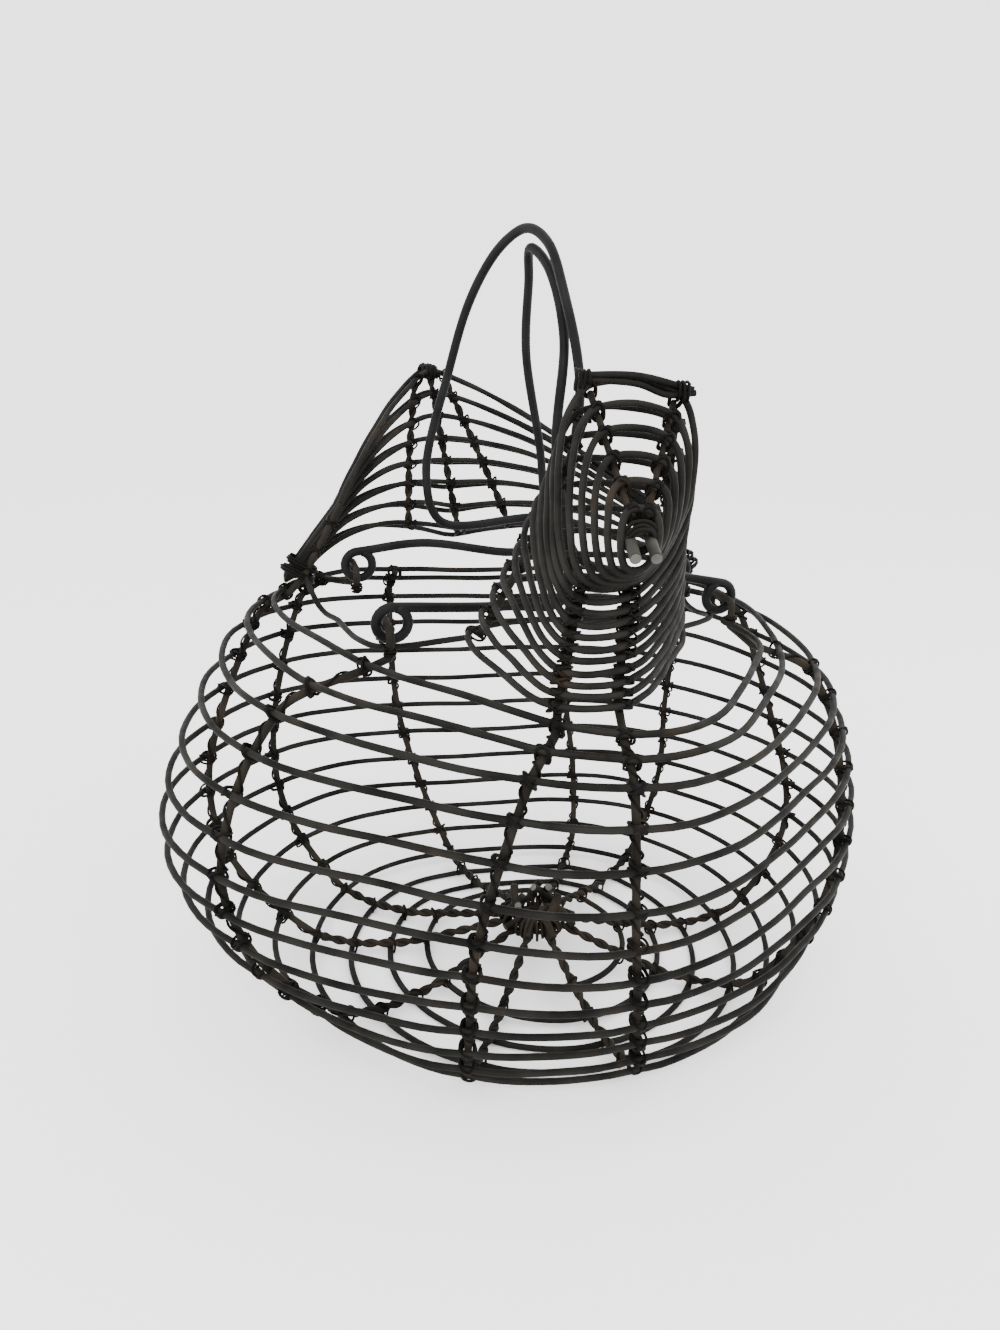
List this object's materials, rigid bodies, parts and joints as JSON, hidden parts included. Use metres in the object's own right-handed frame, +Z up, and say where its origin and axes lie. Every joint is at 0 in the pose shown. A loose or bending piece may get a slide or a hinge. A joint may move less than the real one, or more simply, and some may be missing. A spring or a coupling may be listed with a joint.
{
  "type": "wire egg basket",
  "caption": "Hen-shaped wire egg basket: a wound wire bowl on curved ribs, ringed neck and head, fanned tail, and two hinged wire bails over the open mouth",
  "frame": {"origin": "on the ground under the middle of the whole basket", "axes": "+Z up, the head looks along -Y, the tail is towards +Y, +X is the hen's left-hand side seen from the head"},
  "size_m": [0.2548, 0.2438, 0.2611],
  "materials": {
    "winding_wire": "old bare iron wire, dull grey-black with a brown cast",
    "rib_wire": "older, rust-browned iron wire bound with black wire",
    "bail_wire": "smoother dark iron wire, handled"
  },
  "bodies": {
    "basket": {"bottom_winding": "winding_wire", "low_belly_winding": "winding_wire", "middle_belly_winding": "winding_wire", "high_belly_winding": "winding_wire", "low_shoulder_winding": "winding_wire", "middle_shoulder_winding": "winding_wire", "high_shoulder_winding": "winding_wire", "hub_ring": "rib_wire", "neck_ring_1": "winding_wire", "neck_ring_2": "winding_wire", "neck_ring_3": "winding_wire", "neck_ring_4": "winding_wire", "neck_ring_5": "winding_wire", "neck_ring_6": "winding_wire", "neck_ring_7": "winding_wire", "neck_ring_8": "winding_wire", "neck_ring_9": "winding_wire", "neck_ring_10": "winding_wire", "neck_ring_11": "winding_wire", "head_ring_1": "winding_wire", "head_ring_2": "winding_wire", "head_ring_3": "winding_wire", "head_ring_4": "winding_wire", "head_ring_5": "winding_wire", "neck_post_left": "rib_wire", "neck_post_right": "rib_wire", "head_stay_left": "rib_wire", "head_stay_right": "rib_wire", "crown_bar": "winding_wire", "beak_wire": "winding_wire", "tail_loop_1": "winding_wire", "tail_loop_2": "winding_wire", "tail_loop_3": "winding_wire", "tail_loop_4": "winding_wire", "tail_loop_5": "winding_wire", "tail_loop_6": "winding_wire", "tail_loop_7": "winding_wire", "tail_loop_8": "winding_wire", "tail_rib_left": "rib_wire", "tail_rib_middle": "rib_wire", "tail_rib_right": "rib_wire", "rib_front_left": "rib_wire", "rib_front_right": "rib_wire", "rib_right_front": "rib_wire", "rib_right": "rib_wire", "rib_right_rear": "rib_wire", "rib_rear_right": "rib_wire", "rib_rear_left": "rib_wire", "rib_left_rear": "rib_wire", "rib_left": "rib_wire", "rib_left_front": "rib_wire", "rim_wire_left": "winding_wire", "rim_wire_right": "winding_wire"},
    "left_bail": {"left_bail": "bail_wire"},
    "right_bail": {"right_bail": "bail_wire"}
  },
  "joints": [
    {"name": "left_bail_hinge", "type": "hinge", "parent": "basket", "child": "left_bail", "pos_m": [-0.05534, 0.01071, 0.1382], "axis": [0, -1, 0], "range_deg": [0, 170]},
    {"name": "right_bail_hinge", "type": "hinge", "parent": "basket", "child": "right_bail", "pos_m": [0.07466, 0.01071, 0.1382], "axis": [0, 1, 0], "range_deg": [0, 170]}
  ]
}
